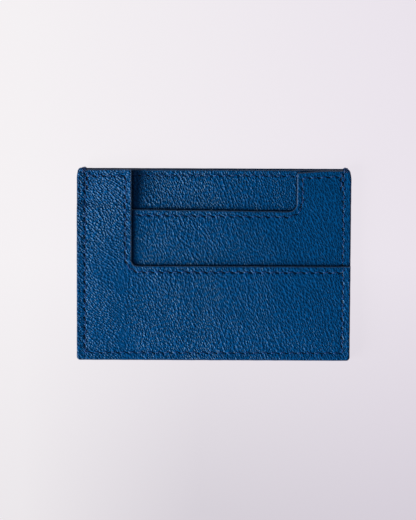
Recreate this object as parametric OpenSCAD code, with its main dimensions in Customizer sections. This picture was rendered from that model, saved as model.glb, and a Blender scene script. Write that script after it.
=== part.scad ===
// Flat open-top card holder in thin leather, lying on its back: +Z out of the front face, +Y towards
// the pocket mouths, origin under the middle of the back face. All lengths are in millimetres.
//
// Four leather panels, each with a thin fabric lining, are stacked and sewn together along the left,
// bottom and right edges. Every panel lies flat on the one below it inside that seam margin and rises
// over a short slope to its own level, which leaves a slot under it, open at the top. The holder is
// empty, so its slots are nearly closed, and a card pushes the soft leather apart.
// Every mouth has a painted edge and a hem seam. Each seam is a lockstitch: a needle thread on one
// side and a bobbin thread on the other, each stitch lying in its own small slot in the leather.

/* [Body] */
// Width over the painted edges
body_w = 100; // [98:1:110]
// Height over the painted edges
body_h = 70; // [68:1:80]
// Corner radius at the upper left
corner_tl = 1.4; // [1:0.1:2.2]
// Corner radius at the upper right
corner_tr = 1.9; // [1:0.1:2.2]
// Corner radius at the two lower corners
corner_b = 1.3; // [1:0.1:2.2]

/* [Layers] */
// Thickness of the back, middle pocket and front pocket leather
leather_t = 0.7; // [0.6:0.05:1]
// Thickness of the base panel leather
base_t = 0.6; // [0.55:0.05:0.9]
// Thickness of each lining
lining_t = 0.1; // [0.1:0.05:0.2]
// Height of each empty card slot
slot_gap = 0.3; // [0.2:0.05:1]
// Width of the flat seam margin
margin_w = 3.8; // [3.6:0.1:4]
// Width of the slope between the seam margin and the raised middle
slope_w = 3.2; // [2:0.1:5]
// Thickness of the edge paint
paint_t = 0.15; // [0.1:0.01:0.2]

/* [Pockets] */
// Height of the front pocket's mouth above the bottom edge
front_mouth = 34.3; // [28:0.1:40]
// Width of the front pocket's left column
front_col = 20.1; // [15:0.1:26]
// Radius of the front pocket's inner corner
front_r = 2.2; // [1:0.1:4]
// Height of the middle pocket's mouth above the bottom edge
mid_mouth = 54.5; // [46:0.1:56]
// Width of the middle pocket's right column
mid_col = 19.8; // [15:0.1:26]
// Radius of the middle pocket's inner corner
mid_r = 2.9; // [1:0.1:4]
// How far the left column's top stops below the back panel's top edge
front_drop = 0.7; // [0.4:0.1:2]
// How far the right column's top stops below the back panel's top edge
mid_drop = 1; // [0.4:0.1:2]
// How far the base panel's top stops below the back panel's top edge
base_drop = 0.6; // [0.4:0.1:2]

/* [Stitching] */
// Stitch pitch
pitch = 3.3; // [2.5:0.1:4]
// Distance of the perimeter seam from the left edge
seam_left = 2.95; // [2.5:0.05:3.2]
// Distance of the perimeter seam from the right edge
seam_right = 2.6; // [2.5:0.05:3.2]
// Distance of the perimeter seam from the bottom edge
seam_bottom = 2.55; // [2.5:0.05:3.2]
// Distance of the front pocket's hem seam from its mouth
front_hem = 2.25; // [1.8:0.05:2.6]
// Distance of the middle pocket's hem seam from its mouth
mid_hem = 2.05; // [1.8:0.05:2.6]
// Distance of the base and back panels' hem seams from their top edges
top_hem = 2.1; // [1.8:0.05:2.6]
// Diameter of the needle thread
needle_d = 0.4; // [0.3:0.05:0.4]
// Diameter of the bobbin thread where it lies on a lining
bobbin_d = 0.25; // [0.2:0.05:0.25]

/* [Hidden] */
$fn = 48;
LEATHER = [0.07, 0.28, 0.48];
LINING = [0.05, 0.07, 0.14];
THREAD = [0.08, 0.12, 0.38];
PAINT = [0.12, 0.22, 0.34];

half_w = body_w / 2;
half_h = body_h / 2;
flat_x = half_w - margin_w - slope_w;
front_y = front_mouth - half_h;
mid_y = mid_mouth - half_h;
front_x = front_col - half_w;
mid_x = half_w - mid_col;
front_top = half_h - front_drop;
mid_top = half_h - mid_drop;
base_top = half_h - base_drop;
paint_stop = half_h - 2.8;

// Undersides of the leather, in the seam margin and in the raised middle
base_rim = leather_t + 2 * lining_t;
base_mid = base_rim + slot_gap;
pocket_rim = base_rim + base_t + lining_t;
pocket_mid = base_mid + base_t + slot_gap + lining_t;
front_rim = pocket_rim + leather_t + lining_t;
front_mid = pocket_mid + leather_t + slot_gap + lining_t;

// Where the front pocket steps down past the end of the middle pocket
step_y = mid_y + 0.1;

// Threads: depth of the slots they lie in, and the unsewn gap at each needle hole
needle_sink = 0.25;
back_sink = 0.42;
bobbin_sink = bobbin_d;
hole_gap = 0.6;
tack_shift = 0.5;
loop_y = 1.6;

function rise(d) = min(1, max(0, (d - margin_w) / slope_w));
function lift(x, y) = min(rise(half_w - abs(x)), rise(half_h + y));
function on_sheet(p, rim, mid) = [p[0], p[1], rim + (mid - rim) * lift(p[0], p[1])];
function on_sheets(path, rim, mid) = [for (p = path) on_sheet(p, rim, mid)];
function arc(c, r, from, to) = [for (a = [from:(to - from) / 2:to]) c + r * [cos(a), sin(a)]];

// Seam paths in plan
left_seam = seam_left - half_w;
right_seam = half_w - seam_right;
bottom_seam = seam_bottom - half_h;
top_seam = half_h - loop_y;
front_col_seam = front_x - front_hem;
front_arc = arc([front_x + front_r, front_y + front_r], front_r + front_hem, 180, 270);
front_hem_left = [[3.9 - half_w, front_top - front_hem], [-flat_x, front_top - front_hem],
                  [front_col_seam, front_top - front_hem]];
front_hem_right = [[flat_x, front_y - front_hem], [half_w - 3.3, front_y - front_hem]];
front_hem_path = concat(front_hem_left, front_arc, front_hem_right);
mid_arc = arc([mid_x - mid_r, mid_y + mid_r], mid_r + mid_hem, 270, 360);
mid_hem_right = [[mid_x + mid_hem, mid_top - mid_hem], [flat_x, mid_top - mid_hem],
                 [half_w - 4.2, mid_top - mid_hem]];
mid_hem_path = concat([[-flat_x, mid_y - mid_hem]], mid_arc, mid_hem_right);
base_hem_path = [[-flat_x, base_top - top_hem], [flat_x, base_top - top_hem]];
back_hem_path = [[5 - half_w, half_h - top_hem], [half_w - 5, half_h - top_hem]];
perimeter_low = [[left_seam, step_y + 0.4], [left_seam, bottom_seam], [right_seam, bottom_seam],
                 [right_seam, front_y - 0.4]];
perimeter_left = [[left_seam, top_seam], [left_seam, step_y + 1]];
perimeter_right = [[right_seam, front_y + 0.3], [right_seam, top_seam]];
perimeter_back = [[left_seam, top_seam], [left_seam, bottom_seam], [right_seam, bottom_seam],
                  [right_seam, top_seam]];
tack_left = [[left_seam + tack_shift, top_seam], [left_seam + tack_shift, top_seam - 2 * pitch]];
tack_right = [[right_seam - tack_shift, top_seam], [right_seam - tack_shift, top_seam - 2 * pitch]];

// ---- Plan outlines -------------------------------------------------------------------------------

// Waste outside a rounded corner whose tip is at x, y and whose inside lies towards sx, sy
module corner_waste(x, y, sx, sy, r) {
    difference() {
        translate([x + sx * (r - 1) / 2, y + sy * (r - 1) / 2])
            square(r + 1, center = true);
        translate([x + sx * r, y + sy * r])
            circle(r);
    }
}

// A full-width sheet, inset at the sides and bottom, with its top edge at a given height
module sheet_outline(side, top) {
    x = half_w - side;
    y = side - half_h;
    difference() {
        translate([-x, y])
            square([2 * x, top - y]);
        corner_waste(-x, top, 1, -1, corner_tl - side);
        corner_waste(x, top, -1, -1, corner_tr - side);
        corner_waste(-x, y, 1, 1, corner_b - side);
        corner_waste(x, y, -1, 1, corner_b - side);
    }
}

// Everything above y on one side of x, with its inner corner rounded
module window(x, y, sx, r) {
    difference() {
        translate([x + (sx - 1) * half_w, y])
            square(body_w);
        corner_waste(x, y, sx, 1, r);
    }
}

module back_outline(side, lip) {
    sheet_outline(side, half_h - lip);
}

module base_outline(side, lip) {
    sheet_outline(side, base_top - lip);
}

module mid_outline(side, lip) {
    difference() {
        sheet_outline(side, mid_top - lip);
        window(mid_x + lip, mid_y - lip, -1, mid_r + lip);
    }
}

module front_outline(side, lip) {
    difference() {
        sheet_outline(side, front_top - lip);
        window(front_x - lip, front_y - lip, 1, front_r + lip);
    }
}

// The strip of a plan outline between two heights
module strip(low, high) {
    intersection() {
        children();
        translate([-body_w, low])
            square([2 * body_w, high - low]);
    }
}

// The three sides that are painted after the panels are sewn together
module painted_sides() {
    strip(-body_h, paint_stop) {
        difference() {
            sheet_outline(0, half_h);
            sheet_outline(paint_t, half_h);
        }
    }
}

// ---- Sheets that follow the seam margin, the slope and the raised middle ----------------------------

// Everything below a surface that is at rim in the seam margin and at mid in the middle
module below(rim, mid, floor_z) {
    far = body_w;
    edge_x = half_w - margin_w;
    edge_y = margin_w - half_h;
    across = [[-far, floor_z], [far, floor_z], [far, rim], [edge_x, rim], [flat_x, mid],
              [-flat_x, mid], [-edge_x, rim], [-far, rim]];
    along = [[-far, floor_z], [far, floor_z], [far, mid], [edge_y + slope_w, mid], [edge_y, rim],
             [-far, rim]];
    intersection() {
        rotate([90, 0, 0])
            linear_extrude(height = 2 * body_h, center = true)
                polygon(across);
        rotate([90, 0, 90])
            linear_extrude(height = 2 * body_w, center = true)
                polygon(along);
    }
}

// A plan outline cut out of the space between two such surfaces
module between(rim_low, rim_high, mid_low, mid_high) {
    intersection() {
        linear_extrude(height = 20)
            children();
        difference() {
            below(rim_high, mid_high, -1);
            below(rim_low, mid_low, -2);
        }
    }
}

module dished(rim, mid, t) {
    between(rim, rim + t, mid, mid + t)
        children();
}

// The front pocket's sheets lie on the middle pocket below step_y and on the base panel above it
module stepped(rim, low_rim, mid, t, from, to) {
    dished(rim, mid, t)
        strip(-body_h, to)
            children();
    dished(low_rim, mid, t)
        strip(from, body_h)
            children();
    between(low_rim, rim + t, mid, mid + t)
        strip(from, to)
            children();
}

// ---- Stitches ------------------------------------------------------------------------------------

// Turns local +Z along the line from a to b, and local +X downwards where that line is level
module lay(a, b) {
    d = b - a;
    translate(a)
        rotate([0, acos(d[2] / norm(d)), atan2(d[1], d[0])])
            children();
}

// One length of thread with chamfered ends
module thread_bar(d, len) {
    r = d / 2;
    rotate_extrude()
        polygon([[0, 0], [r * 0.5, 0], [r, r * 1.6], [r, len - r * 1.6], [r * 0.5, len], [0, len]]);
}

// Runs a child module once for every stitch along a path, with local +Z along the stitch
module each_stitch(path) {
    for (i = [0:len(path) - 2]) {
        a = path[i];
        b = path[i + 1];
        count = max(1, round(norm(b - a) / pitch));
        advance = (b - a) / count;
        $stitch = norm(advance);
        for (k = [0:count - 1]) {
            lay(a + k * advance, a + (k + 1) * advance)
                children();
        }
    }
}

// Thread lying sink deep in a surface; side is 1 for an upper surface and -1 for a lower one
module sewn(path, d, sink, side) {
    each_stitch(path)
        translate([side * (sink - d / 2), 0, hole_gap / 2])
            thread_bar(d, $stitch - hole_gap);
}

// The slots that thread lies in
module slots(path, d, sink, side) {
    low = side > 0 ? -1 : -sink;
    each_stitch(path)
        translate([low, -(d + 0.16) / 2, hole_gap / 2 - 0.08])
            cube([sink + 1, d + 0.16, $stitch - hole_gap + 0.16]);
}

// The turn of thread that is carried over the top edge at one end of the perimeter seam
module edge_loop(x) {
    r = needle_d / 2;
    y = half_h + r;
    high = pocket_rim + leather_t - needle_sink + r;
    low = back_sink - r;
    for (z = [low, high]) {
        translate([x, y, z])
            rotate([90, 0, 0])
                cylinder(r = r, h = loop_y + r - 0.3);
        translate([x, y, z])
            sphere(r);
    }
    translate([x, y, low])
        cylinder(r = r, h = high - low);
}

// The slots that the two legs of the turn lie in
module loop_slots(x) {
    w = needle_d + 0.16;
    y = half_h - loop_y + 0.2;
    translate([x - w / 2, y, pocket_rim + leather_t - needle_sink])
        cube([w, loop_y + 1, 1]);
    translate([x - w / 2, y, back_sink - 1])
        cube([w, loop_y + 1, 1]);
}

// ---- Leather -------------------------------------------------------------------------------------

module back_panel() {
    color(LEATHER)
        difference() {
            linear_extrude(height = leather_t)
                back_outline(paint_t, paint_t);
            slots(on_sheets(perimeter_back, 0, 0), needle_d, back_sink, -1);
            slots(on_sheets(tack_left, 0, 0), needle_d, back_sink, -1);
            slots(on_sheets(tack_right, 0, 0), needle_d, back_sink, -1);
            slots(on_sheets(back_hem_path, 0, 0), needle_d, back_sink, -1);
            slots(back_hem_inside(), bobbin_d, bobbin_sink, 1);
            loop_slots(left_seam);
            loop_slots(right_seam);
        }
}

module base_panel() {
    top_rim = base_rim + base_t;
    top_mid = base_mid + base_t;
    color(LEATHER)
        difference() {
            dished(base_rim, base_mid, base_t)
                base_outline(paint_t, paint_t);
            slots(on_sheets(base_hem_path, top_rim, top_mid), needle_d, needle_sink, 1);
            slots(base_hem_under(), bobbin_d, bobbin_sink, -1);
        }
}

module mid_pocket() {
    top_rim = pocket_rim + leather_t;
    top_mid = pocket_mid + leather_t;
    color(LEATHER)
        difference() {
            dished(pocket_rim, pocket_mid, leather_t)
                mid_outline(paint_t, paint_t);
            slots(on_sheets(mid_hem_path, top_rim, top_mid), needle_d, needle_sink, 1);
            slots(mid_hem_under(), bobbin_d, bobbin_sink, -1);
            slots(on_sheets(perimeter_right, top_rim, top_mid), needle_d, needle_sink, 1);
            slots(on_sheets(tack_right, top_rim, top_mid), needle_d, needle_sink, 1);
            loop_slots(right_seam);
        }
}

module front_pocket() {
    top_rim = front_rim + leather_t;
    top_low_rim = pocket_rim + leather_t;
    top_mid = front_mid + leather_t;
    from = step_y + lining_t;
    color(LEATHER)
        difference() {
            stepped(front_rim, pocket_rim, front_mid, leather_t, from, from + leather_t)
                front_outline(paint_t, paint_t);
            slots(on_sheets(front_hem_left, top_low_rim, top_mid), needle_d, needle_sink, 1);
            slots(on_sheets(front_hem_rest(), top_rim, top_mid), needle_d, needle_sink, 1);
            slots(front_hem_under(), bobbin_d, bobbin_sink, -1);
            slots(on_sheets(perimeter_low, top_rim, top_mid), needle_d, needle_sink, 1);
            slots(on_sheets(perimeter_left, top_low_rim, top_mid), needle_d, needle_sink, 1);
            slots(on_sheets(tack_left, top_low_rim, top_mid), needle_d, needle_sink, 1);
            loop_slots(left_seam);
        }
}

// ---- Linings -------------------------------------------------------------------------------------

lining_lip = 0.5;

// Bobbin paths, on the undersides of the linings or on the back lining's upper side
function back_hem_inside() =
    on_sheets(back_hem_path, leather_t + lining_t, leather_t + lining_t);
function base_hem_under() =
    on_sheets(base_hem_path, base_rim - lining_t, base_mid - lining_t);
function mid_hem_under() =
    on_sheets([for (p = mid_hem_path) if (p[0] <= flat_x) p], pocket_rim - lining_t,
              pocket_mid - lining_t);
function front_hem_rest() =
    [for (i = [2:len(front_hem_path) - 1]) front_hem_path[i]];
function front_hem_under() =
    on_sheets([for (p = front_hem_path) if (abs(p[0]) <= flat_x) p], front_rim - lining_t,
              front_mid - lining_t);

module back_lining() {
    color(LINING)
        difference() {
            translate([0, 0, leather_t])
                linear_extrude(height = lining_t)
                    back_outline(paint_t, lining_lip);
            slots(back_hem_inside(), bobbin_d, bobbin_sink, 1);
        }
}

module base_lining() {
    color(LINING)
        difference() {
            dished(base_rim - lining_t, base_mid - lining_t, lining_t)
                base_outline(paint_t, lining_lip);
            slots(base_hem_under(), bobbin_d, bobbin_sink, -1);
        }
}

module mid_lining() {
    color(LINING)
        difference() {
            dished(pocket_rim - lining_t, pocket_mid - lining_t, lining_t)
                mid_outline(paint_t, lining_lip);
            slots(mid_hem_under(), bobbin_d, bobbin_sink, -1);
        }
}

module front_lining() {
    color(LINING)
        difference() {
            stepped(front_rim - lining_t, pocket_rim - lining_t, front_mid - lining_t, lining_t,
                    step_y, step_y + lining_t)
                front_outline(paint_t, lining_lip);
            slots(front_hem_under(), bobbin_d, bobbin_sink, -1);
        }
}

// ---- Edge paint ----------------------------------------------------------------------------------

module outer_edge_paint() {
    low_top = pocket_rim + leather_t;
    high_top = front_rim + leather_t;
    color(PAINT)
        translate([0, 0, 0.05]) {
            linear_extrude(height = low_top - 0.05)
                painted_sides();
            linear_extrude(height = high_top - 0.05)
                strip(-body_h, front_y)
                    painted_sides();
            linear_extrude(height = high_top - 0.05)
                intersection() {
                    strip(-body_h, step_y + lining_t + leather_t)
                        painted_sides();
                    translate([-body_w, -body_h])
                        square([body_w, 2 * body_h]);
                }
        }
}

// The painted band of a mouth: what lies between an outline and the leather inside it
module painted_lip() {
    difference() {
        children(0);
        children(1);
        for (sx = [-1, 1]) {
            translate([sx * (half_w - paint_t + 1), paint_stop - body_h])
                square([2, 2 * body_h], center = true);
        }
        translate([0, -half_h])
            square([2 * body_w, 2 * corner_b + 1], center = true);
    }
}

module back_edge_paint() {
    color(PAINT)
        difference() {
            linear_extrude(height = leather_t)
                painted_lip() {
                    back_outline(0, 0);
                    back_outline(paint_t, paint_t);
                }
            loop_slots(left_seam);
            loop_slots(right_seam);
        }
}

module base_edge_paint() {
    color(PAINT)
        dished(base_rim, base_mid, base_t)
            painted_lip() {
                base_outline(0, 0);
                base_outline(paint_t, paint_t);
            }
}

module mid_edge_paint() {
    color(PAINT)
        difference() {
            dished(pocket_rim, pocket_mid, leather_t)
                painted_lip() {
                    mid_outline(0, 0);
                    mid_outline(paint_t, paint_t);
                }
            loop_slots(right_seam);
        }
}

module front_edge_paint() {
    from = step_y + lining_t;
    color(PAINT)
        difference() {
            stepped(front_rim, pocket_rim, front_mid, leather_t, from, from + leather_t)
                painted_lip() {
                    front_outline(0, 0);
                    front_outline(paint_t, paint_t);
                }
            loop_slots(left_seam);
        }
}

// ---- Threads -------------------------------------------------------------------------------------

module perimeter_needle_thread() {
    top_rim = front_rim + leather_t;
    top_low_rim = pocket_rim + leather_t;
    color(THREAD) {
        sewn(on_sheets(perimeter_low, top_rim, top_rim), needle_d, needle_sink, 1);
        for (path = [perimeter_left, perimeter_right, tack_left, tack_right]) {
            sewn(on_sheets(path, top_low_rim, top_low_rim), needle_d, needle_sink, 1);
        }
        edge_loop(left_seam);
        edge_loop(right_seam);
    }
}

module perimeter_bobbin_thread() {
    color(THREAD)
        for (path = [perimeter_back, tack_left, tack_right]) {
            sewn(on_sheets(path, 0, 0), needle_d, back_sink, -1);
        }
}

module front_hem_needle_thread() {
    top_mid = front_mid + leather_t;
    color(THREAD) {
        sewn(on_sheets(front_hem_left, pocket_rim + leather_t, top_mid), needle_d, needle_sink, 1);
        sewn(on_sheets(front_hem_rest(), front_rim + leather_t, top_mid), needle_d, needle_sink, 1);
    }
}

module front_hem_bobbin_thread() {
    color(THREAD)
        sewn(front_hem_under(), bobbin_d, bobbin_sink, -1);
}

module mid_hem_needle_thread() {
    color(THREAD)
        sewn(on_sheets(mid_hem_path, pocket_rim + leather_t, pocket_mid + leather_t), needle_d,
             needle_sink, 1);
}

module mid_hem_bobbin_thread() {
    color(THREAD)
        sewn(mid_hem_under(), bobbin_d, bobbin_sink, -1);
}

module base_hem_needle_thread() {
    color(THREAD)
        sewn(on_sheets(base_hem_path, base_rim + base_t, base_mid + base_t), needle_d,
             needle_sink, 1);
}

module base_hem_bobbin_thread() {
    color(THREAD)
        sewn(base_hem_under(), bobbin_d, bobbin_sink, -1);
}

module back_hem_needle_thread() {
    color(THREAD)
        sewn(on_sheets(back_hem_path, 0, 0), needle_d, back_sink, -1);
}

module back_hem_bobbin_thread() {
    color(THREAD)
        sewn(back_hem_inside(), bobbin_d, bobbin_sink, 1);
}

// ---- Nodes ---------------------------------------------------------------------------------------

back_panel();
back_lining();
base_panel();
base_lining();
mid_pocket();
mid_lining();
front_pocket();
front_lining();
outer_edge_paint();
back_edge_paint();
base_edge_paint();
mid_edge_paint();
front_edge_paint();
perimeter_needle_thread();
perimeter_bobbin_thread();
front_hem_needle_thread();
front_hem_bobbin_thread();
mid_hem_needle_thread();
mid_hem_bobbin_thread();
base_hem_needle_thread();
base_hem_bobbin_thread();
back_hem_needle_thread();
back_hem_bobbin_thread();
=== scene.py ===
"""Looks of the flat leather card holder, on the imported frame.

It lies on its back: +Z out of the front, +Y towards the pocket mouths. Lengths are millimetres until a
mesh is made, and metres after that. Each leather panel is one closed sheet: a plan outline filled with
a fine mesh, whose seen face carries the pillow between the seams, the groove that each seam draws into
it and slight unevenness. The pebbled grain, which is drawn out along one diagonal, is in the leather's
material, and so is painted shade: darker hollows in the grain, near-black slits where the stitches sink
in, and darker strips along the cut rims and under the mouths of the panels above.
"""
import math

import bpy
import numpy as np
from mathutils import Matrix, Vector
from mathutils.geometry import delaunay_2d_cdt


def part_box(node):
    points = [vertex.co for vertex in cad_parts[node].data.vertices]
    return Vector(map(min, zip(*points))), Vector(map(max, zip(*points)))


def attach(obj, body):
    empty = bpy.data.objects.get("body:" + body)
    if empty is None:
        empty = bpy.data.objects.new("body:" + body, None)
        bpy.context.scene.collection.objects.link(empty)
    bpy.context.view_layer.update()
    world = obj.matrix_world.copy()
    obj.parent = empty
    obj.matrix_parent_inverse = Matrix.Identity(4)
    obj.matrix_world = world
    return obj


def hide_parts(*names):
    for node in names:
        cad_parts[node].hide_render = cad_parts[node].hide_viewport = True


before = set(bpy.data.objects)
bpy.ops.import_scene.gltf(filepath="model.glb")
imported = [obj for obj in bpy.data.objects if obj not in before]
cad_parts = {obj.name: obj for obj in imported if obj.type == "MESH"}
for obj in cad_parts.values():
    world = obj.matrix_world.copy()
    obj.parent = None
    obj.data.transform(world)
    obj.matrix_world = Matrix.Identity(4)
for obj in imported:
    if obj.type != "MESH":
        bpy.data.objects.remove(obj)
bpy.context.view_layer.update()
MM = 0.001


def reach(node, axis):
    """How far a CAD node reaches along an axis, in millimetres to the nearest hundredth."""
    return round(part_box(node)[1]["xyz".index(axis)] / MM, 2)


# The outline and the layers
HALF_W, HALF_H = reach("outer_edge_paint", "x"), reach("back_edge_paint", "y")
CORNER_TL, CORNER_TR, CORNER_B = 1.4, 1.9, 1.3
PAINT = round(HALF_W - reach("back_panel", "x"), 2)
LEATHER_T = reach("back_panel", "z")
LINING_T = round(reach("back_lining", "z") - LEATHER_T, 2)
BASE_T = 0.6

# Upper faces in the seam margin, where the layers lie on one another, and in the raised middle
BASE_RIM = LEATHER_T + 2 * LINING_T + BASE_T
MID_RIM = BASE_RIM + LINING_T + LEATHER_T
FRONT_RIM = MID_RIM + LINING_T + LEATHER_T
BASE_MID, MID_MID, FRONT_MID = 1.6, 2.8, 3.95

# The mouths: each panel's top, and the inner corner of each L-shaped cut
BACK_TOP, BASE_TOP, FRONT_TOP = (reach(f"{panel}_edge_paint", "y") for panel in ("back", "base", "front"))
MID_TOP_LEFT, MID_TOP_RIGHT = 33.35, 34.15
FRONT_X, FRONT_Y, FRONT_R = -29.9, -0.7, 2.2
MID_X, MID_Y_LEFT, MID_Y_RIGHT, MID_R = 30.2, 19.85, 19.25, 2.9

# Seams: where the perimeter runs, how far the hems lie inside the mouths, and the double row at its ends
PITCH, THREAD_D, BOBBIN_D = 3.3, 0.42, 0.25
SEAM_L, SEAM_R, SEAM_B = -46.85, 47.2, -32.2
HEM_FRONT, HEM_MID, HEM_TOP = 2.25, 2.05, 2.1
LOOP_Y = 33.4
TACK = 0.85

# The paint of the sides goes round the top corners to CORNER_END, where that of the mouths starts
CORNER_END, CORNER_Y = 48.3, 32.3
PATH_STEP = 0.35


# ---- Noise ---------------------------------------------------------------------------------------


def hashed(ix, iy, seed):
    """A fixed pseudo-random value from 0 to 1 for each whole-number place."""
    h = ix.astype(np.int64) * 374761393 + iy.astype(np.int64) * 668265263 + seed * 974634777
    h = ((h & 0x7FFFFFFF) ^ ((h & 0x7FFFFFFF) >> 13)) * 1274126177 & 0x7FFFFFFF
    return ((h ^ (h >> 15)) & 0xFFFF) / 65535.0


def noise(x, y, seed):
    """Smooth value noise from -1 to 1 with features about one unit across."""
    ix, iy = np.floor(x), np.floor(y)
    fx, fy = x - ix, y - iy
    fx, fy = fx * fx * (3 - 2 * fx), fy * fy * (3 - 2 * fy)
    low = hashed(ix, iy, seed) * (1 - fx) + hashed(ix + 1, iy, seed) * fx
    high = hashed(ix, iy + 1, seed) * (1 - fx) + hashed(ix + 1, iy + 1, seed) * fx
    return 2 * (low * (1 - fy) + high * fy) - 1


def smooth(x, low, high):
    """0 below low, 1 above high, and an S-curve between them."""
    t = np.clip((x - low) / (high - low), 0, 1)
    return t * t * (3 - 2 * t)


# ---- Large shapes --------------------------------------------------------------------------------

# Width of the strip along the sides that the perimeter seam holds down
HELD = 3.2


def swell(d, length):
    """How far the leather has risen at distance d from a side that a seam holds down."""
    return 1 - np.exp(-(np.clip(d - HELD, 0, None) / length) ** 1.25)


def pillow(x, y):
    """0 in the seam margin and 1 in the middle. The mouths at the top are open: nothing holds them down."""
    left, right, low = x + HALF_W, HALF_W - x, y + HALF_H
    ease = np.clip((right - HELD) / 60, 0, 1) ** 0.8
    shoulder = swell(left, 1.7) * swell(right, 14.0) * swell(low, 2.6)
    dome = swell(left, 14.0) * ease * swell(low, 21.0)
    return 0.2 * shoulder + 0.9 * dome


def margin(x, y):
    """The strip outside the perimeter seam, which stands up a little towards the cut edge."""
    sides = 1 - smooth(HALF_W - abs(x), 0.2, 3.1)
    low = 1 - smooth(y + HALF_H, 0.2, 2.7)
    return 0.13 * sides + 0.05 * low * (1 - sides)


def ripple(x, y, seed):
    """Unevenness of a whole panel, in millimetres."""
    return 0.06 * noise(x / 19, y / 15, seed) + 0.03 * noise(x / 8, y / 7, seed + 1)


def mid_mouth(x):
    """The middle pocket's mouth, which falls a little from x = -30 to x = 30."""
    return MID_Y_LEFT + (MID_Y_RIGHT - MID_Y_LEFT) * (x + 30) / 60


def back_top(x, y):
    return np.zeros_like(x) + LEATHER_T


def base_top(x, y):
    p = pillow(x, y)
    return BASE_RIM + (BASE_MID - BASE_RIM) * p + 0.5 * p * ripple(x, y, 11)


def mid_top(x, y):
    p = pillow(x, y)
    return MID_RIM + (MID_MID - MID_RIM) * p + 0.7 * p * ripple(x, y, 21) + margin(x, y)


def front_top(x, y):
    """Above the middle pocket's mouth the column has one layer less below it, and its free edge lifts."""
    p = pillow(x, y)
    past = smooth(y, 20.0, 23.0)
    rim = FRONT_RIM - (FRONT_RIM - MID_RIM) * past
    lift = (0.25 * smooth(x, -46, -33) + 0.2 * smooth(x, -33.5, -30)) * smooth(y, 20.5, 27)
    return rim + (FRONT_MID - rim) * p + p * ripple(x, y, 31) + margin(x, y) + lift


TOPS = {"back": back_top, "base": base_top, "mid": mid_top, "front": front_top}
THICK = {"back": LEATHER_T, "base": BASE_T, "mid": LEATHER_T, "front": LEATHER_T}


# ---- Seams ---------------------------------------------------------------------------------------


def arc(cx, cy, r, a0, a1):
    """The two ends and the middle of an arc from angle a0 to a1, in degrees."""
    angles = [math.radians(a) for a in (a0, (a0 + a1) / 2, a1)]
    return [(cx + r * math.cos(a), cy + r * math.sin(a)) for a in angles]


def needle_holes(path):
    """Hole positions along a path, evenly spaced on each straight piece."""
    out = [np.array(path[0], float)]
    for a, b in zip(path[:-1], path[1:]):
        a, b = np.array(a, float), np.array(b, float)
        n = max(1, round(float(np.linalg.norm(b - a)) / PITCH))
        out += [a + (b - a) * (i + 1) / n for i in range(n)]
    return np.array(out)


PERIMETER = [(SEAM_L, LOOP_Y), (SEAM_L, SEAM_B), (SEAM_R, SEAM_B), (SEAM_R, LOOP_Y)]
FRONT_HEM = (
    [(-46.0, FRONT_TOP - HEM_FRONT), (FRONT_X - HEM_FRONT, FRONT_TOP - HEM_FRONT)]
    + arc(FRONT_X + FRONT_R, FRONT_Y + FRONT_R, FRONT_R + HEM_FRONT, 180, 270)
    + [(46.7, FRONT_Y - HEM_FRONT)]
)
MID_HEM = (
    [(-42.8, mid_mouth(-42.8) - HEM_MID)]
    + arc(MID_X - MID_R, mid_mouth(MID_X - MID_R) + MID_R, MID_R + HEM_MID, 270, 360)
    + [(MID_X + HEM_MID, MID_TOP_LEFT - HEM_MID + 0.1), (45.8, MID_TOP_RIGHT - HEM_MID)]
)
BASE_HEM = [(-42.9, BASE_TOP - HEM_TOP), (42.9, BASE_TOP - HEM_TOP)]
BACK_HEM = [(-45.4, BACK_TOP - HEM_TOP), (45.4, BACK_TOP - HEM_TOP)]
TACK_L = [(SEAM_L + TACK, LOOP_Y), (SEAM_L + TACK, LOOP_Y - 2 * PITCH)]
TACK_R = [(SEAM_R - TACK, LOOP_Y), (SEAM_R - TACK, LOOP_Y - 2 * PITCH)]


# How hard each kind of stitch is pulled into the leather, and how high the part that shows stands.
# Upright stitches go by the half of the holder that they are in.
PULL = {"tack": 2.0, "bottom": 0.6, "hem": 1.3, "left": 1.5, "right": 0.9}
PROUD = {"tack": 2.0, "bottom": 1.0, "hem": 1.0, "left": 1.0, "right": 0.6}


def stitches(path):
    """Start, end, lean and kind of each stitch. It starts at its lower or left end, a tack the other way."""
    holes = needle_holes(path)
    out = []
    for a, b in zip(holes[:-1], holes[1:]):
        if (b - a) @ (1.0, 0.6) < 0:
            a, b = b, a
        if path in (TACK_L, TACK_R):
            out.append((b, a, 1, "tack"))
        elif abs(b[0] - a[0]) > abs(b[1] - a[1]):
            out.append((a, b, 1, "bottom" if path is PERIMETER else "hem"))
        else:
            out.append((a, b, -1, "left" if a[0] < 0 else "right"))
    return out


def course(t):
    """How one stitch's thread runs: sideways from the seam line, and up from the leather's face."""
    side = np.interp(t, (0.0, 0.3, 0.92, 1.0), (-0.13, 0.2, -0.24, -0.22))
    places = (0.0, 0.07, 0.15, 0.26, 0.37, 0.5, 0.9, 1.0)
    rise = np.interp(t, places, (-0.3, 0.06, 0.12, 0.06, -0.02, -0.2, -0.42, -0.5))
    return side, rise


def slit(t):
    """Where along a stitch its thread has sunk into the leather."""
    return smooth(t, 0.42, 0.62) * (1 - smooth(t, 0.88, 0.99))


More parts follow.
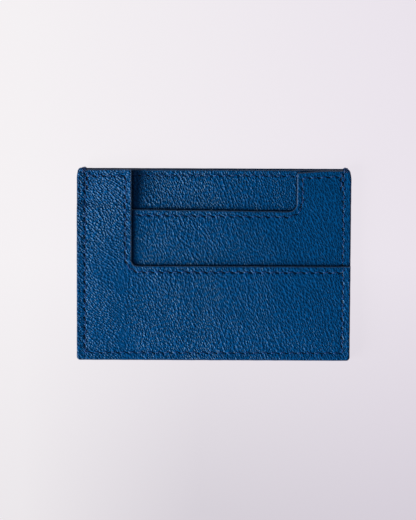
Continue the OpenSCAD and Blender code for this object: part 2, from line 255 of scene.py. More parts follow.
def seam_marks(x, y, paths, bite):
    """How far a seam draws the leather down, and how much shade is painted into its slits."""
    sunk, dark = np.zeros_like(x), np.zeros_like(x)
    for path in paths:
        for a, b, lean, kind in stitches(path):
            length = float(np.linalg.norm(b - a))
            along = (b - a) / length
            near = (
                (x > min(a[0], b[0]) - 2) & (x < max(a[0], b[0]) + 2)
                & (y > min(a[1], b[1]) - 2) & (y < max(a[1], b[1]) + 2)
            )
            px, py = x[near] - a[0], y[near] - a[1]
            t = (px * along[0] + py * along[1]) / length
            over = np.clip(abs(t - 0.5) - 0.5, 0, None) * length
            side = (py * along[0] - px * along[1]) * lean - course(t)[0]
            d = np.hypot(side, over)
            firm = bite * PULL[kind]
            cut = slit(np.clip(t, 0, 1)) * firm
            groove = (0.05 + 0.26 * cut) * np.exp(-((d / (0.17 + 0.07 * cut)) ** 2))
            # Painted shade: the leather is darkened towards black in the slit where the thread sinks in
            shade = np.clip(2.2 * cut, 0, 1) * (1 - smooth(d, 0.1, 0.22 + 0.07 * firm))
            sunk[near] = np.maximum(sunk[near], groove)
            dark[near] = np.maximum(dark[near], shade)
    return sunk, dark


# How hard the seams draw each panel in
BITE = {"front": 1.0, "mid": 0.85, "base": 0.5, "back": 1.0}
SEAMS = {
    "front": [PERIMETER, TACK_L, FRONT_HEM],
    "mid": [PERIMETER, TACK_R, MID_HEM],
    "base": [BASE_HEM],
    "back": [PERIMETER, TACK_L, TACK_R, BACK_HEM],
}


# ---- Plan outlines -------------------------------------------------------------------------------

ARC_STEP = 0.16


def ring(corners, step):
    """Points and outward normals along a counter-clockwise outline of (x, y, radius) corners."""
    n = len(corners)
    arcs = []
    for i in range(n):
        a, p, b = (np.array(corners[(i + k) % n][:2], float) for k in (-1, 0, 1))
        r = corners[i][2]
        d1, d2 = (p - a) / np.linalg.norm(p - a), (b - p) / np.linalg.norm(b - p)
        turn = math.atan2(d1[0] * d2[1] - d1[1] * d2[0], float(d1 @ d2))
        t = r * math.tan(abs(turn) / 2)
        n1 = np.array([d1[1], -d1[0]])
        side = 1 if turn > 0 else -1
        start = p - d1 * t
        centre = start - n1 * r * side
        k = max(2, int(abs(turn) * r / ARC_STEP))
        arc_pts, arc_normals = [], []
        for j in range(k + 1):
            a_j = turn * j / k
            c, s = math.cos(a_j), math.sin(a_j)
            m = np.array([n1[0] * c - n1[1] * s, n1[0] * s + n1[1] * c])
            arc_pts.append(centre + m * r * side)
            arc_normals.append(m)
        arcs.append((arc_pts, arc_normals))
    points, normals = [], []
    for i in range(n):
        arc_pts, arc_normals = arcs[i]
        points += arc_pts
        normals += arc_normals
        a, b = arc_pts[-1], arcs[(i + 1) % n][0][0]
        m = arc_normals[-1]
        k = max(1, int(np.linalg.norm(b - a) / step))
        for j in range(1, k):
            points.append(a + (b - a) * j / k)
            normals.append(m)
    return np.array(points), np.array(normals)


def outline(panel, side=PAINT, lip=PAINT):
    """Corners of a panel, inset from the painted sides by side and from its mouth by lip."""
    x, y = HALF_W - side, -HALF_H + side
    top = (BASE_TOP if panel == "base" else BACK_TOP) - lip
    low = [(-x, y, CORNER_B - side), (x, y, CORNER_B - side)]
    top_right = [(x, top - 3.2, 8.0), (x - 0.7, top, CORNER_TR - lip)]
    top_left = [(-x + 0.5, top, CORNER_TL - lip), (-x, top - 3.0, 8.0)]
    if panel in ("back", "base"):
        return low + top_right + top_left
    if panel == "mid":
        return low + top_right + [
            (SEAM_R + 1.2, BACK_TOP - lip, 0.3),
            (SEAM_R + 0.5, MID_TOP_RIGHT - lip, 0.3),
            (41.0, MID_TOP_RIGHT - lip, 5.0),
            (MID_X + lip, MID_TOP_LEFT - lip, 0.45),
            (MID_X + lip, mid_mouth(MID_X) - lip, MID_R + lip),
            (-x, mid_mouth(-x) - lip, 0.3),
        ]
    return low + [
        (x, FRONT_Y - lip, 0.3),
        (FRONT_X - lip, FRONT_Y - lip, FRONT_R + lip),
        (FRONT_X - lip, FRONT_TOP - lip, 0.45),
        (SEAM_L - 0.4, FRONT_TOP - lip, 0.3),
        (SEAM_L - 1.1, BACK_TOP - lip, 0.3),
    ] + top_left


def mouth_path(panel):
    """The open part of a panel's outline, from its right end to its left end."""
    edge, normals = ring(outline(panel), PATH_STEP)
    out, y = abs(edge[:, 0]), edge[:, 1]
    slack = 0.02
    lowest = {"front": FRONT_Y - PAINT - slack, "mid": 15, "base": CORNER_Y, "back": CORNER_Y}[panel]
    on_side = (out > HALF_W - PAINT - slack) & (y < CORNER_Y)
    round_corner = (out > CORNER_END + PAINT) & (y > 25)
    keep = (y >= lowest) & ~on_side & ~round_corner
    return edge[keep], normals[keep]


def mid_shown(x, y):
    """Where the middle pocket can be seen, so where it needs its finest mesh."""
    return ((x > FRONT_X - 1.5) & (y > FRONT_Y - 1.5)) | (x > HALF_W - 1) | (y < -HALF_H + 0.5)


def base_shown(x, y):
    """Where the base panel can be seen."""
    return (x > FRONT_X - 2) & (x < MID_X + 2) & (y > MID_Y_RIGHT - 1.5)


# ---- Meshes --------------------------------------------------------------------------------------

# The holder is a little out of square: it leans to the right, and spreads and is stretched to the top
LEAN, SPREAD, STRETCH = 0.055, 0.24, 1.003


def mesh_object(name, points, faces, node, material):
    """A mesh from points in millimetres, riding on the body and standing for one CAD node."""
    points = np.array(points, float)
    points[:, 0] += points[:, 1] / HALF_H * (LEAN + SPREAD * points[:, 0] / HALF_W)
    points[:, 1] *= STRETCH
    points *= MM
    mesh = bpy.data.meshes.new(name)
    mesh.from_pydata(points.tolist(), [], [list(map(int, f)) for f in faces])
    mesh.validate()
    mesh.update()
    mesh.shade_smooth()
    mesh.materials.append(material)
    obj = bpy.data.objects.new(name, mesh)
    bpy.context.scene.collection.objects.link(obj)
    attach(obj, "root")
    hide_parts(node)
    return obj


def mark(obj, name, values):
    """Gives each point of a mesh a number that its material reads."""
    attribute = obj.data.attributes.new(name, "FLOAT", "POINT")
    attribute.data.foreach_set("value", values.astype(np.float32))


def tube_faces(n, m):
    """Faces of a tube of n rings with m points each, with a cap at both ends."""
    faces = []
    for i in range(n - 1):
        for j in range(m):
            k = (j + 1) % m
            faces.append([i * m + j, (i + 1) * m + j, (i + 1) * m + k, i * m + k])
    faces.append(list(range(m))[::-1])
    faces.append([(n - 1) * m + j for j in range(m)])
    return faces


def lattice(corners, spacing, jitter, seed):
    """Slightly irregular triangular grid points over an outline's box."""
    xs = [c[0] for c in corners]
    ys = [c[1] for c in corners]
    gx = np.arange(min(xs), max(xs), spacing)
    gy = np.arange(min(ys), max(ys), spacing * 0.87)
    x, y = np.meshgrid(gx, gy)
    x = x + spacing * 0.5 * (np.arange(len(gy))[:, None] % 2)
    rng = np.random.default_rng(seed)
    p = np.stack([x.ravel(), y.ravel()], 1)
    return p + rng.uniform(-jitter, jitter, p.shape) * spacing


def edge_distance(p, edge):
    """Distance of each point to the nearest outline point, for points within 4 mm of it."""
    reach, run = 4, 24
    out = np.full(len(p), 9.0)
    for i in range(0, len(edge), run):
        part = edge[i : i + run]
        near = np.where(((p > part.min(0) - reach) & (p < part.max(0) + reach)).all(1))[0]
        if len(near):
            d = np.hypot(p[near, None, 0] - part[None, :, 0], p[near, None, 1] - part[None, :, 1])
            out[near] = np.minimum(out[near], d.min(1))
    return out


def fill(rings, inner):
    """Fills the outline that is the first ring: points, triangles, and the outline's indices in them."""
    n = len(rings[0])
    points = [Vector(p) for p in np.concatenate(rings + [inner]).tolist()]
    border = [(i, (i + 1) % n) for i in range(n)]
    verts, _, faces, origins, _, _ = delaunay_2d_cdt(points, border, [], 1, 1e-7)
    where = {}
    for out_index, origin in enumerate(origins):
        for i in origin:
            where[i] = out_index
    used = sorted({i for f in faces for i in f})
    renumber = {old: new for new, old in enumerate(used)}
    placed = np.array([verts[i][:] for i in used])
    tris = [[renumber[i] for i in f] for f in faces]
    return placed, tris, [renumber[where[i]] for i in range(n)]


def sheet_mesh(corners, spacing, coarse, offsets, seed, rows=None, shown=None):
    """Plan meshes of a sheet's seen face and of its hidden, coarse face, with one shared outline.

    The seen face has rings of points at these offsets inside the outline. It may have extra rows of
    points, and be fine only where it is shown.
    """
    edge, normals = ring(corners, max(0.3, spacing))
    rings = [edge - normals * o for o in offsets]
    inner = lattice(corners, spacing, 0.16, seed)
    if shown is not None:
        keep = shown(inner[:, 0], inner[:, 1])
        rough = lattice(corners, coarse * 0.6, 0.1, seed + 1)
        rough = rough[~shown(rough[:, 0], rough[:, 1])]
        inner = np.concatenate([inner[keep], rough])
    if rows is not None:
        cell = 0.5
        taken = {(int(a), int(b)) for a, b in np.round(rows / cell)}
        free = np.array([(int(a), int(b)) not in taken for a, b in np.round(inner / cell)])
        inner = np.concatenate([inner[free], rows])
    inner = inner[edge_distance(inner, edge) > offsets[-1] + 0.45 * spacing]
    rough = lattice(corners, coarse, 0.1, seed + 2)
    rough = rough[edge_distance(rough, edge) > 0.5 * coarse]
    return fill(rings, inner), fill([edge], rough)


def turned_over(plan):
    """The same plan mesh, facing the other way."""
    points, tris, edge = plan
    return points, [t[::-1] for t in tris], edge[::-1]


def closed_sheet(name, upper, lower, z_upper, z_lower, node, material):
    """One closed mesh from the plan meshes of two faces and their heights."""
    (pu, tu, eu), (pl, tl, el) = upper, lower
    points = np.concatenate([np.column_stack([pu, z_upper]), np.column_stack([pl, z_lower])])
    shift = len(pu)
    faces = list(tu) + [[f[2] + shift, f[1] + shift, f[0] + shift] for f in tl]
    n = len(eu)
    for i in range(n):
        j = (i + 1) % n
        faces.append([el[i] + shift, el[j] + shift, eu[j], eu[i]])
    return mesh_object(name, points, faces, node, material)


# ---- Shader helpers ------------------------------------------------------------------------------


def node_material(name):
    material = bpy.data.materials.new(name)
    material.use_nodes = True
    tree = material.node_tree
    return material, tree, tree.nodes["Principled BSDF"]


def wire(node, inputs):
    """Links each input to the socket given for it, or sets it to the value given."""
    for key, value in inputs.items():
        if isinstance(value, bpy.types.NodeSocket):
            node.id_data.links.new(value, node.inputs[key])
        else:
            node.inputs[key].default_value = value


def add(tree, kind, inputs, **settings):
    """A new node with its settings and inputs."""
    node = tree.nodes.new(kind)
    for key, value in settings.items():
        setattr(node, key, value)
    wire(node, inputs)
    return node


def object_place(tree):
    return add(tree, "ShaderNodeTexCoord", {}).outputs["Object"]


def axis(tree, where, name):
    return add(tree, "ShaderNodeSeparateXYZ", {"Vector": where}).outputs[name]


def marked(tree, name):
    """The number that a mesh's points carry under this name."""
    return add(tree, "ShaderNodeAttribute", {}, attribute_name=name).outputs["Fac"]


def clouds(tree, where, scale, detail, roughness=0.5):
    """Smooth noise, with scale in features per metre."""
    inputs = {"Vector": where, "Scale": scale, "Detail": detail, "Roughness": roughness}
    return add(tree, "ShaderNodeTexNoise", inputs).outputs


def maths(tree, operation, *values):
    return add(tree, "ShaderNodeMath", dict(enumerate(values)), operation=operation).outputs["Value"]


def remap(tree, value, before, after=(0.0, 1.0)):
    """A value carried over from one range to another, and clamped to it."""
    ends = {"From Min": before[0], "From Max": before[1], "To Min": after[0], "To Max": after[1]}
    return add(tree, "ShaderNodeMapRange", {"Value": value, **ends}).outputs["Result"]


def blend(tree, fac, a, b):
    return add(tree, "ShaderNodeMix", {"Factor": fac, "A": a, "B": b}, data_type="FLOAT").outputs["Result"]


def colour_mix(tree, fac, a, b, blend_type="MIX"):
    """Two colours mixed; a Mix node's colour sockets are its inputs 6 and 7 and its output 2."""
    inputs = {"Factor": fac, 6: a, 7: b}
    return add(tree, "ShaderNodeMix", inputs, data_type="RGBA", blend_type=blend_type).outputs[2]


def ramp(tree, fac, stops):
    node = add(tree, "ShaderNodeValToRGB", {"Fac": fac})
    elements = node.color_ramp.elements
    while len(elements) < len(stops):
        elements.new(0.5)
    for element, (at, colour) in zip(elements, stops):
        element.position = at
        element.color = (*colour, 1)
    return node.outputs["Color"]


def grey(level):
    return (level, level, level)


def bumps(tree, height, strength, distance, invert=False):
    inputs = {"Height": height, "Strength": strength, "Distance": distance}
    return add(tree, "ShaderNodeBump", inputs, invert=invert).outputs["Normal"]


# ---- Materials -----------------------------------------------------------------------------------


def swayed(tree, where):
    """Places shifted by noise, so that nothing drawn at them runs straight."""
    sway = clouds(tree, where, 330.0, 2.0)["Color"]
    drift = clouds(tree, where, 60.0, 1.0)["Color"]
    far = add(tree, "ShaderNodeVectorMath", {0: drift, "Scale": 0.003}, operation="SCALE").outputs["Vector"]
    near = {0: sway, 1: (0.0005, 0.0005, 0), 2: far}
    push = add(tree, "ShaderNodeVectorMath", near, operation="MULTIPLY_ADD").outputs["Vector"]
    return add(tree, "ShaderNodeVectorMath", {0: where, 1: push}, operation="ADD").outputs["Vector"]


def pebble(tree, where, degrees, long, across):
    """Grain cells drawn out along one direction, 1 in their middles and about 0.6 at their borders."""
    turn, size = (0, 0, math.radians(degrees)), (long * MM, across * MM, MM)
    drawn = {"Vector": where, "Rotation": turn, "Scale": size}
    placed = add(tree, "ShaderNodeMapping", drawn, vector_type="TEXTURE").outputs["Vector"]
    cells = {"Vector": placed, "Scale": 1.0, "Randomness": 0.85}
    nearest = add(tree, "ShaderNodeTexVoronoi", cells, voronoi_dimensions="2D", feature="F1")
    return maths(tree, "MULTIPLY_ADD", nearest.outputs["Distance"], -0.6, 1.0)


def grain(tree, where):
    """The pebbled grain, which is slacker in patches towards the left."""
    bent = swayed(tree, where)
    patch = clouds(tree, where, 45.0, 1.0)["Fac"]
    left = remap(tree, axis(tree, where, "X"), (-0.02, -0.044))
    share = remap(tree, maths(tree, "ADD", patch, left), (0.75, 1.1))
    drawn = pebble(tree, bent, 110, 1.4, 0.74)
    slack = pebble(tree, bent, 138, 1.25, 0.76)
    small = pebble(tree, bent, 116, 0.75, 0.46)
    return blend(tree, 0.18, blend(tree, share, drawn, slack), small)


def leather_material():
    material, tree, shader = node_material("pebbled_leather")
    where = object_place(tree)
    relief = grain(tree, where)
    mottle = clouds(tree, where, 95.0, 4.0, 0.6)["Fac"]
    tones = [(0.3, (0.0003, 0.083, 0.262)), (0.5, (0.0003, 0.089, 0.284)), (0.72, (0.0004, 0.095, 0.305))]
    # Painted shade: the grain's hollows are darkened, down to 0.4 of the tone
    grain_hollow_shade = [(0.6, grey(1)), (0.75, grey(0.8)), (0.97, grey(0.4))]
    surface_colour = colour_mix(tree, 1.0, ramp(tree, mottle, tones), ramp(tree, relief, grain_hollow_shade), "MULTIPLY")
    pores = clouds(tree, where, 3000.0, 2.0)["Fac"]
    slant = add(tree, "ShaderNodeLayerWeight", {"Blend": 0.5}).outputs["Facing"]
    wire(shader, {
        # Near-black painted shade, by the mesh's mark: in the stitch slits, along cut rims and under the
        # mouths above
        "Base Color": colour_mix(tree, marked(tree, "hole"), surface_colour, (0.0012, 0.0025, 0.009, 1)),
        "Roughness": remap(tree, relief, (0.6, 1.0), (0.31, 0.35)),
        "Normal": bumps(tree, blend(tree, 0.02, relief, pores), marked(tree, "depth"), 0.0009, invert=True),
        "Specular IOR Level": remap(tree, slant, (0.6, 0.93), (0.5, 0.0)),
    })
    shader.inputs["IOR"].default_value = 1.3
    shader.inputs["Specular Tint"].default_value = (0.51, 0.8, 0.88, 1)
    return material


def thread_material():
    material, tree, shader = node_material("sewing_thread")
    fibre = clouds(tree, object_place(tree), 5200.0, 2.0)["Fac"]
    tones = [(0.3, (0.008, 0.04, 0.15)), (0.55, (0.014, 0.062, 0.22)), (0.8, (0.03, 0.1, 0.32))]
    surface_colour = ramp(tree, fibre, tones)
    wire(shader, {
        # Near-black painted shade, by the mesh's mark, where the thread sinks into the leather
        "Base Color": colour_mix(tree, marked(tree, "hole"), surface_colour, (0.001, 0.0025, 0.01, 1)),
        "Normal": bumps(tree, fibre, 0.5, 0.00004),
    })
    shader.inputs["Roughness"].default_value = 0.4
    shader.inputs["Specular Tint"].default_value = (0.6, 0.8, 1.0, 1)
    return material


def paint_material():
    """Edge paint, streaked along the edge as it was rubbed on."""
    material, tree, shader = node_material("edge_paint")
    where = object_place(tree)
    patch = clouds(tree, where, 420.0, 3.0)["Fac"]
    stretch = {"Vector": where, "Scale": (0.06, 0.06, 1.0)}
    streaked = add(tree, "ShaderNodeMapping", stretch).outputs["Vector"]
    wire(shader, {
        "Base Color": ramp(tree, patch, [(0.35, (0.011, 0.05, 0.125)), (0.7, (0.022, 0.078, 0.185))]),
        "Roughness": remap(tree, patch, (0.0, 1.0), (0.3, 0.5)),
        "Normal": bumps(tree, clouds(tree, streaked, 3200.0, 2.0)["Fac"], 0.35, 0.00006),
    })
    return material


def lining_material():
    material, tree, shader = node_material("woven_lining")
    yarn = {"Vector": object_place(tree), "Scale": 1300.0, "Distortion": 0.4}
    warp, weft = (add(tree, "ShaderNodeTexWave", yarn, bands_direction=a).outputs["Fac"] for a in ("X", "Y"))
    weave = maths(tree, "MULTIPLY", warp, weft)
    wire(shader, {
        "Base Color": ramp(tree, weave, [(0.0, (0.002, 0.004, 0.013)), (0.7, (0.008, 0.014, 0.04))]),
        "Normal": bumps(tree, weave, 0.6, 0.00005),
    })
    shader.inputs["Roughness"].default_value = 0.85
    return material


LEATHER, THREAD = leather_material(), thread_material()
EDGE, LINING = paint_material(), lining_material()


# ---- Leather panels ------------------------------------------------------------------------------

PANELS = ("back", "base", "mid", "front")
NODES = {"back": "back_panel", "base": "base_panel", "mid": "mid_pocket", "front": "front_pocket"}
# The panels whose mouths lie over each panel; painted shade is put on it just under them
ABOVE = {"back": (), "base": ("mid", "front"), "mid": ("front",), "front": ()}
SHOWN = {"back": None, "base": base_shown, "mid": mid_shown, "front": None}
SPACING = {"back": 0.33, "base": 0.24, "mid": 0.24, "front": 0.25}
UNEVEN = {"back": 900, "base": 700, "mid": 500, "front": 300}
# How dark the painted shade gets along the cut rims and under the mouths above
EDGE_SHADE = 0.75
LINING_CORNERS = {panel: outline(panel, PAINT + 0.05, 0.5) for panel in PANELS}


def slit_rows(panel):
    """Extra mesh points in rows along every slit of a panel."""
    rows = []
    for path in SEAMS[panel]:
        for a, b, lean, _ in stitches(path):
            along = (b - a) / np.linalg.norm(b - a)
            across = np.array([-along[1], along[0]]) * lean
            t = np.linspace(0.3, 1.0, 13)
            for k, d in enumerate((-0.42, -0.26, -0.12, 0.0, 0.12, 0.26, 0.42)):
                u = t + 0.02 * (k % 2)
                rows.append(a + (b - a) * u[:, None] + across * (course(u)[0] + d)[:, None])
    return np.concatenate(rows)


def surface(panel, x, y):
    """The seen face of a panel: its height, the shade painted into its slits, and how deep its grain is."""
    sunk, dark = seam_marks(x, y, SEAMS[panel], BITE[panel])
    seed = UNEVEN[panel]
    uneven = 0.028 * noise(x / 1.9, y / 2.6, seed) + 0.02 * noise(x / 0.9, y / 1.3, seed + 1)
    left, right = np.clip(-x / 40, 0, 1.2), np.clip(x / 40, 0, 1.2)
    depth = 0.78 + left * (0.019 * np.maximum(y, 0) - 0.03) - right * (0.19 + 0.003 * y)
    depth = depth * (1.15 if panel == "base" else 1.0) * (1 - 0.5 * np.clip(sunk / 0.2, 0, 1))
    return TOPS[panel](x, y) - sunk + uneven, dark, depth


def rim_shape(from_edge, from_mouth):
    """A cut edge is rounded down, and along a mouth a low ridge lies inside it."""
    t = np.clip(1 - from_edge / 0.42, 0, 1)
    return 0.07 * np.exp(-(((from_mouth - 0.5) / 0.36) ** 2)) - 0.2 * t * t


def leather(panel):
    """A panel's leather. Its seen face is the upper one, but on the back panel it is the lower one."""
    spacing = SPACING[panel] * 1.0
    offsets = [0.0, 0.1, 0.22, 0.4]
    seed = 40 + len(panel)
    seen, hidden = sheet_mesh(outline(panel), spacing, 2.4, offsets, seed, slit_rows(panel), SHOWN[panel])
    points, _, border = seen
    z, dark, depth = surface(panel, *points.T)
    from_edge = edge_distance(points, points[border])
    from_mouth = edge_distance(points, mouth_path(panel)[0])
    z = z + rim_shape(from_edge, from_mouth)
    # Painted shade along the rounded cut rims, except near the mouths
    painted_rim_shade = EDGE_SHADE * (1 - smooth(from_edge, 0.05, 0.4)) * smooth(from_mouth, 0.5, 1.5)
    dark = np.maximum(dark, painted_rim_shade)
    # Painted shade just under the mouth of each panel that lies over this one
    for above in ABOVE[panel]:
        crease = edge_distance(points, mouth_path(above)[0])
        dark = np.maximum(dark, EDGE_SHADE * (1 - smooth(crease, 0.3, 1.0)))
    if panel == "back":
        z = np.clip(LEATHER_T - z, 0.0, 0.5)
        other = np.full(len(hidden[0]), LEATHER_T)
        seen, hidden = turned_over(seen), turned_over(hidden)
    else:
        other = TOPS[panel](*hidden[0].T) - THICK[panel]
    obj = closed_sheet(f"leather_{panel}", seen, hidden, z, other, NODES[panel], LEATHER)
    unmarked = np.zeros(len(hidden[0]))
    mark(obj, "depth", np.concatenate([depth, unmarked]))
    mark(obj, "hole", np.concatenate([dark, unmarked]))
    return obj


def lining(panel):
    """A panel's lining, on the face of the leather that is inside a pocket, and just clear of it."""
    upper, lower = sheet_mesh(LINING_CORNERS[panel], 1.3, 1.3, [0.0], 80 + len(panel))
    gap = 0.01
    if panel == "back":
        high, low = LINING_T, gap
    else:
        high, low = -THICK[panel] - gap, -THICK[panel] - LINING_T
    z_upper, z_lower = TOPS[panel](*upper[0].T) + high, TOPS[panel](*lower[0].T) + low
    return closed_sheet(
        f"lining_{panel}", upper, lower, z_upper, z_lower, f"{panel}_lining", LINING
    )


def declare_sheet(piece, corners):
    """Works out points along a plan outline and does nothing with them."""
    p = ring(corners, 1.0)[0]


for panel in PANELS:
    skin = leather(panel)
    declare_sheet(skin, outline(panel))
    declare_sheet(lining(panel), LINING_CORNERS[panel])


# ---- Edge paint ----------------------------------------------------------------------------------


def mouth_paint(panel):
    """A rounded bead of paint that wraps the cut edge of a mouth."""
    t = THICK[panel]
    profile = [
        (-0.12, -t / 2), (-0.16, -t - 0.02), (0.0, -t - 0.01), (0.08, -t + 0.08), (0.135, -t + 0.2),
        (0.15, -t / 2), (0.135, -0.2), (0.08, -0.1), (-0.02, -0.03), (-0.14, 0.025), (-0.26, 0.02),
    ]
    path, normals = mouth_path(panel)
    n = len(path)
    face = TOPS[panel](*path.T)
    wobble = 0.02 * noise(np.arange(n) / 5.0, np.zeros(n), 11 + len(panel))
    rings = []
    for out, up in profile:
        reach = out + wobble * (out > 0.05)
        rings.append(np.column_stack([path + normals * reach[:, None], face + up]))
    points, faces = np.stack(rings, 1).reshape(-1, 3), tube_faces(n, len(profile))
    return mesh_object(f"edge_paint_{panel}", points, faces, f"{panel}_edge_paint", EDGE)


def outer_paint():
    """The sanded and painted side of the whole stack, with the joints between the layers just showing."""
    edge, normals = ring(outline("back"), PATH_STEP)
    keep = (edge[:, 1] < 0) | (abs(edge[:, 0]) > CORNER_END)
    start = int(np.where(keep & ~np.roll(keep, 1))[0][0])
    order = [(start + i) % len(edge) for i in range(int(keep.sum()))]
    path, normals = edge[order], normals[order]
    on_left = smooth(path[:, 1], 19.0, 22.4)
    on_right = smooth(path[:, 1], FRONT_Y - 0.15, FRONT_Y + 0.15)
    step = np.where(path[:, 0] < 0, on_left, on_right)
    low, high = 0.02, FRONT_RIM - (FRONT_RIM - MID_RIM) * step - 0.06
    joints = (LEATHER_T + LINING_T / 2, BASE_RIM, MID_RIM)
    shares = np.interp(range(27), (0, 5, 20, 26), (0.0, 0.2, 0.85, 1.0))
    rows = [np.column_stack([path - normals * 0.25, np.full(len(path), 0.03)])]
    for share in shares:
        z = low + share * (high - low)
        round_low = 0.16 * np.clip(1 - z / 0.3, 0, 1) ** 2
        round_high = 0.24 * np.clip(1 - (high - z) / 0.4, 0, 1) ** 2
        groove = sum(0.045 * np.exp(-(((z - joint) / 0.06) ** 2)) for joint in joints)
        grit = 0.03 * noise(path[:, 0] / 1.7 + path[:, 1] / 1.7, np.full(len(path), share * 9.0), 5)
        out = PAINT - round_low - round_high - groove + grit
        rows.append(np.column_stack([path + normals * out[:, None], z]))
    rows.append(np.column_stack([path - normals * 0.3, high]))
    points = np.stack(rows, 1).reshape(-1, 3)
    faces = tube_faces(len(path), len(rows))
    return mesh_object("edge_paint_outer", points, faces, "outer_edge_paint", EDGE)


for panel in PANELS:
    mouth_paint(panel)
outer_paint()


# ---- Thread --------------------------------------------------------------------------------------

PLIES, SIDES = 3, 6
TWIST = 1.9
# How dark the painted shade is on the turns of thread over the top edge
TURN_SHADE = 0.3
STITCH_T = np.linspace(0.02, 0.98, 15)


def twisted(centre, diameter, turns, phase):
    """Three plies twisted round a centre line; returns points and faces."""
    n = len(centre)
    tangent = np.gradient(centre, axis=0)
    tangent /= np.linalg.norm(tangent, axis=1)[:, None]
    side = np.cross(tangent, np.array([0.0, 0.0, 1.0]))
    norms = np.linalg.norm(side, axis=1)[:, None]
    side = np.where(norms > 0.05, side / np.maximum(norms, 1e-9), np.array([1.0, 0.0, 0.0]))
    up = np.cross(side, tangent)
    off, r = diameter * 0.25, diameter * 0.27
    points, faces = [], []
    for ply in range(PLIES):
        a = phase + 2 * np.pi * (ply / PLIES + turns * np.linspace(0, 1, n))
        line = centre + off * (np.cos(a)[:, None] * side + np.sin(a)[:, None] * up)
        for k in range(SIDES):
            b = 2 * np.pi * k / SIDES
            points.append(line + r * (math.cos(b) * side + math.sin(b) * up))
    for ply in range(PLIES):
        first = [(ply * SIDES + k) * n for k in range(SIDES)]
        for a, b in zip(first, first[1:] + first[:1]):
            faces += [[a + i, b + i, b + i + 1, a + i + 1] for i in range(n - 1)]
        faces.append(first[::-1])
        faces.append([a + n - 1 for a in first])
    return np.concatenate(points), faces


def stitch_lines(path, top, face):
    """Centre lines of the stitches along a path: up out of one of the needle holes, over, and down into the
    next.
    """
    side, rise = course(STITCH_T)
    lines = []
    for a, b, lean, kind in stitches(path):
        along = (b - a) / np.linalg.norm(b - a)
        across = np.array([-along[1], along[0]]) * lean
        xy = a + (b - a) * STITCH_T[:, None] + across * side[:, None]
        height = np.where(rise > 0, rise * PROUD[kind], rise)
        lines.append(np.column_stack([xy, top(*xy.T) + face * height]))
    return lines


def thread_object(name, lines, diameter, node, seed):
    """All the stitches and turns of one thread as one piece."""
    rng = np.random.default_rng(seed)
    points, faces, deep, shift = [], [], [], 0
    for line in lines:
        length = float(np.linalg.norm(np.diff(line, axis=0), axis=1).sum())
        p, f = twisted(line, diameter, length / TWIST, rng.uniform(0, 6.28))
        is_stitch = len(line) == len(STITCH_T)
        # Painted shade: a stitch is darker where it sinks into the leather, a turn over the edge darker all
        # along
        shade = slit(STITCH_T) if is_stitch else np.full(len(line), TURN_SHADE)
        points.append(p)
        deep.append(np.tile(shade, PLIES * SIDES))
        faces += [[i + shift for i in face] for face in f]
        shift += len(p)
    obj = mesh_object(name, np.concatenate(points), faces, node, THREAD)
    mark(obj, "hole", np.concatenate(deep))
    return obj


def over_the_edge(x, slant, high, low, bulge):
    """One turn of the thread that is carried over the top edge, from the face at high to that at low."""
    start, end = LOOP_Y - 0.2, BACK_TOP + bulge
    bends = [
        (start, high - 0.35), (start + 0.3, high + 0.1), (BACK_TOP - 1.1, high + 0.14),
        (BACK_TOP - 0.5, high + 0.1), (BACK_TOP - 0.05, high - 0.15), (end, high - 0.6),
        (end, high - 1.2), (end - 0.02, low + 0.35), (BACK_TOP - 0.05, low + 0.08),
        (BACK_TOP - 0.6, low), (BACK_TOP - 1.2, low), (start + 0.2, low + 0.05), (start, low + 0.3),
    ]
    last = len(bends) - 1
    line = np.array([(x + slant * (1 - 2 * i / last), y, z) for i, (y, z) in enumerate(bends)])
    fine = np.linspace(0, last, 34)
    return np.column_stack([np.interp(fine, range(len(bends)), line[:, k]) for k in range(3)])


def front_or_mid(x, y):
    """The face that the perimeter seam runs over: the front pocket, or above its mouth the middle pocket."""
    on_front = (x < 0) | (y < FRONT_Y)
    return np.where(on_front, front_top(x, y), mid_top(x, y))


def back_face(x, y):
    return np.zeros_like(x)


def under_lining(panel):
    """The lower face of a panel's lining."""
    return lambda x, y: TOPS[panel](x, y) - THICK[panel] - LINING_T


def over_back_lining(x, y):
    return back_top(x, y) + LINING_T


# Where the turns of thread go over the top edge at each corner, and how far each bulges past it
TURNS = (
    (SEAM_L - 0.3, ((-0.75, 0.05), (-0.3, 0.12), (0.1, 0.22), (0.45, 0.05))),
    (SEAM_R + 0.5, ((-0.5, 0.0), (-0.1, 0.25), (0.35, 0.1), (0.75, 0.0))),
)


def perimeter_threads():
    front_lines, back_lines = [], []
    for path in (PERIMETER, TACK_L, TACK_R):
        front_lines += stitch_lines(path, front_or_mid, 1)
        back_lines += stitch_lines(path, back_face, -1)
    for seam, turns in TURNS:
        for k, (shift, bulge) in enumerate(turns):
            slant = 0.16 * (-1) ** k
            turn = over_the_edge(seam + shift, slant, MID_RIM + 0.1 * bulge, 0.24, bulge)
            (front_lines if k % 2 else back_lines).append(turn)
    thread_object("thread_perimeter_needle", front_lines, THREAD_D, "perimeter_needle_thread", 1)
    thread_object("thread_perimeter_bobbin", back_lines, THREAD_D, "perimeter_bobbin_thread", 2)


def hem_threads(panel, path, leather_face, lining_face, up, seeds):
    """The two threads of a hem: the thick one on the leather, which faces up or down, and the thin one."""
    needle, bobbin = stitch_lines(path, leather_face, up), stitch_lines(path, lining_face, -up)
    thread_object(f"thread_{panel}_hem_needle", needle, THREAD_D, f"{panel}_hem_needle_thread", seeds[0])
    thread_object(f"thread_{panel}_hem_bobbin", bobbin, BOBBIN_D, f"{panel}_hem_bobbin_thread", seeds[1])


perimeter_threads()
for k, (panel, path) in enumerate((("front", FRONT_HEM), ("mid", MID_HEM), ("base", BASE_HEM))):
    hem_threads(panel, path, TOPS[panel], under_lining(panel), 1, (10 + k, 20 + k))
hem_threads("back", BACK_HEM, back_face, over_back_lining, -1, (30, 31))


# ---- Floor, light and camera ---------------------------------------------------------------------


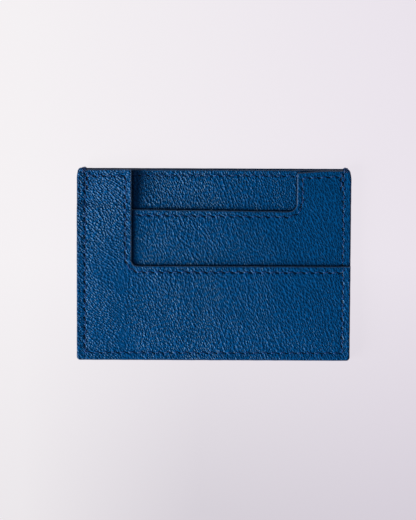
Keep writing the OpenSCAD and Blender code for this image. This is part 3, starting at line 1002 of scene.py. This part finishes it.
def floor():
    """A pale board that glows by itself, painted with the light's falloff: dimmer to the right and the
    bottom, most at the lower right.
    """
    half, level = 3.0, -0.0006
    mesh = bpy.data.meshes.new("floor")
    corners = [(x * half, y * half, level) for x, y in ((-1, -1), (1, -1), (1, 1), (-1, 1))]
    mesh.from_pydata(corners, [], [(0, 1, 2, 3)])
    obj = bpy.data.objects.new("floor", mesh)
    bpy.context.scene.collection.objects.link(obj)
    material, tree, shader = node_material("pale_board")
    where = object_place(tree)
    across = remap(tree, axis(tree, where, "X"), (-0.07, 0.075))
    along = remap(tree, axis(tree, where, "Y"), (0.0, -0.095))
    deepest = ramp(tree, across, [(0.0, grey(0.4)), (0.45, grey(1.05)), (1.0, grey(0.85))])
    dim = maths(tree, "MULTIPLY", along, deepest)
    # Painted shade: the board's glow is dimmer to the right and along the bottom, most at the lower right
    base = colour_mix(tree, across, (0.87, 0.84, 0.855, 1), (0.79, 0.738, 0.803, 1))
    near = colour_mix(tree, dim, (1, 1, 1, 1), (0.76, 0.75, 0.78, 1))
    wire(shader, {"Emission Color": colour_mix(tree, 1.0, base, near, "MULTIPLY")})
    shader.inputs["Base Color"].default_value = (0.06, 0.057, 0.06, 1)
    shader.inputs["Roughness"].default_value = 0.9
    shader.inputs["Specular IOR Level"].default_value = 0.0
    shader.inputs["Emission Strength"].default_value = 1.0
    mesh.materials.append(material)


def key_light():
    """A large soft light from the left, low enough to bring out the grain."""
    light = bpy.data.lights.new("key", "AREA")
    light.shape = "DISK"
    light.size = 1.12
    light.energy = 43.0
    light.color = (1.0, 0.99, 0.98)
    obj = bpy.data.objects.new("key", light)
    obj.location = (-1.25, -0.6, 0.44)
    obj.rotation_euler = (-obj.location).to_track_quat("-Z", "Y").to_euler()
    bpy.context.scene.collection.objects.link(obj)


def room():
    """Walls that are pale near the floor and darker and bluer above."""
    world = bpy.data.worlds.new("room")
    world.use_nodes = True
    tree = world.node_tree
    direction = add(tree, "ShaderNodeTexCoord", {}).outputs["Generated"]
    walls = [
        (0.0, (0.88, 0.84, 0.88)),
        (0.07, (0.86, 0.83, 0.87)),
        (0.28, (0.08, 0.12, 0.14)),
        (1.0, (0.03, 0.095, 0.13)),
    ]
    wire(tree.nodes["Background"], {"Color": ramp(tree, axis(tree, direction, "Z"), walls)})
    bpy.context.scene.world = world


def camera_above():
    """A long lens straight above, a little off centre and a little turned."""
    shown, front_face = 189.4353, 3.5
    camera = bpy.data.cameras.new("camera")
    camera.lens, camera.sensor_width = 100.0, 36.0
    camera.clip_start, camera.clip_end = 0.01, 10
    height = shown * camera.lens / camera.sensor_width + front_face
    obj = bpy.data.objects.new("camera", camera)
    obj.location = (-2.0765 * MM, 1.4936 * MM, height * MM)
    obj.rotation_euler = (0, 0, math.radians(0.23))
    bpy.context.scene.collection.objects.link(obj)
    bpy.context.scene.camera = obj
    bpy.context.scene.view_settings.view_transform = "Standard"


floor()
key_light()
room()
camera_above()
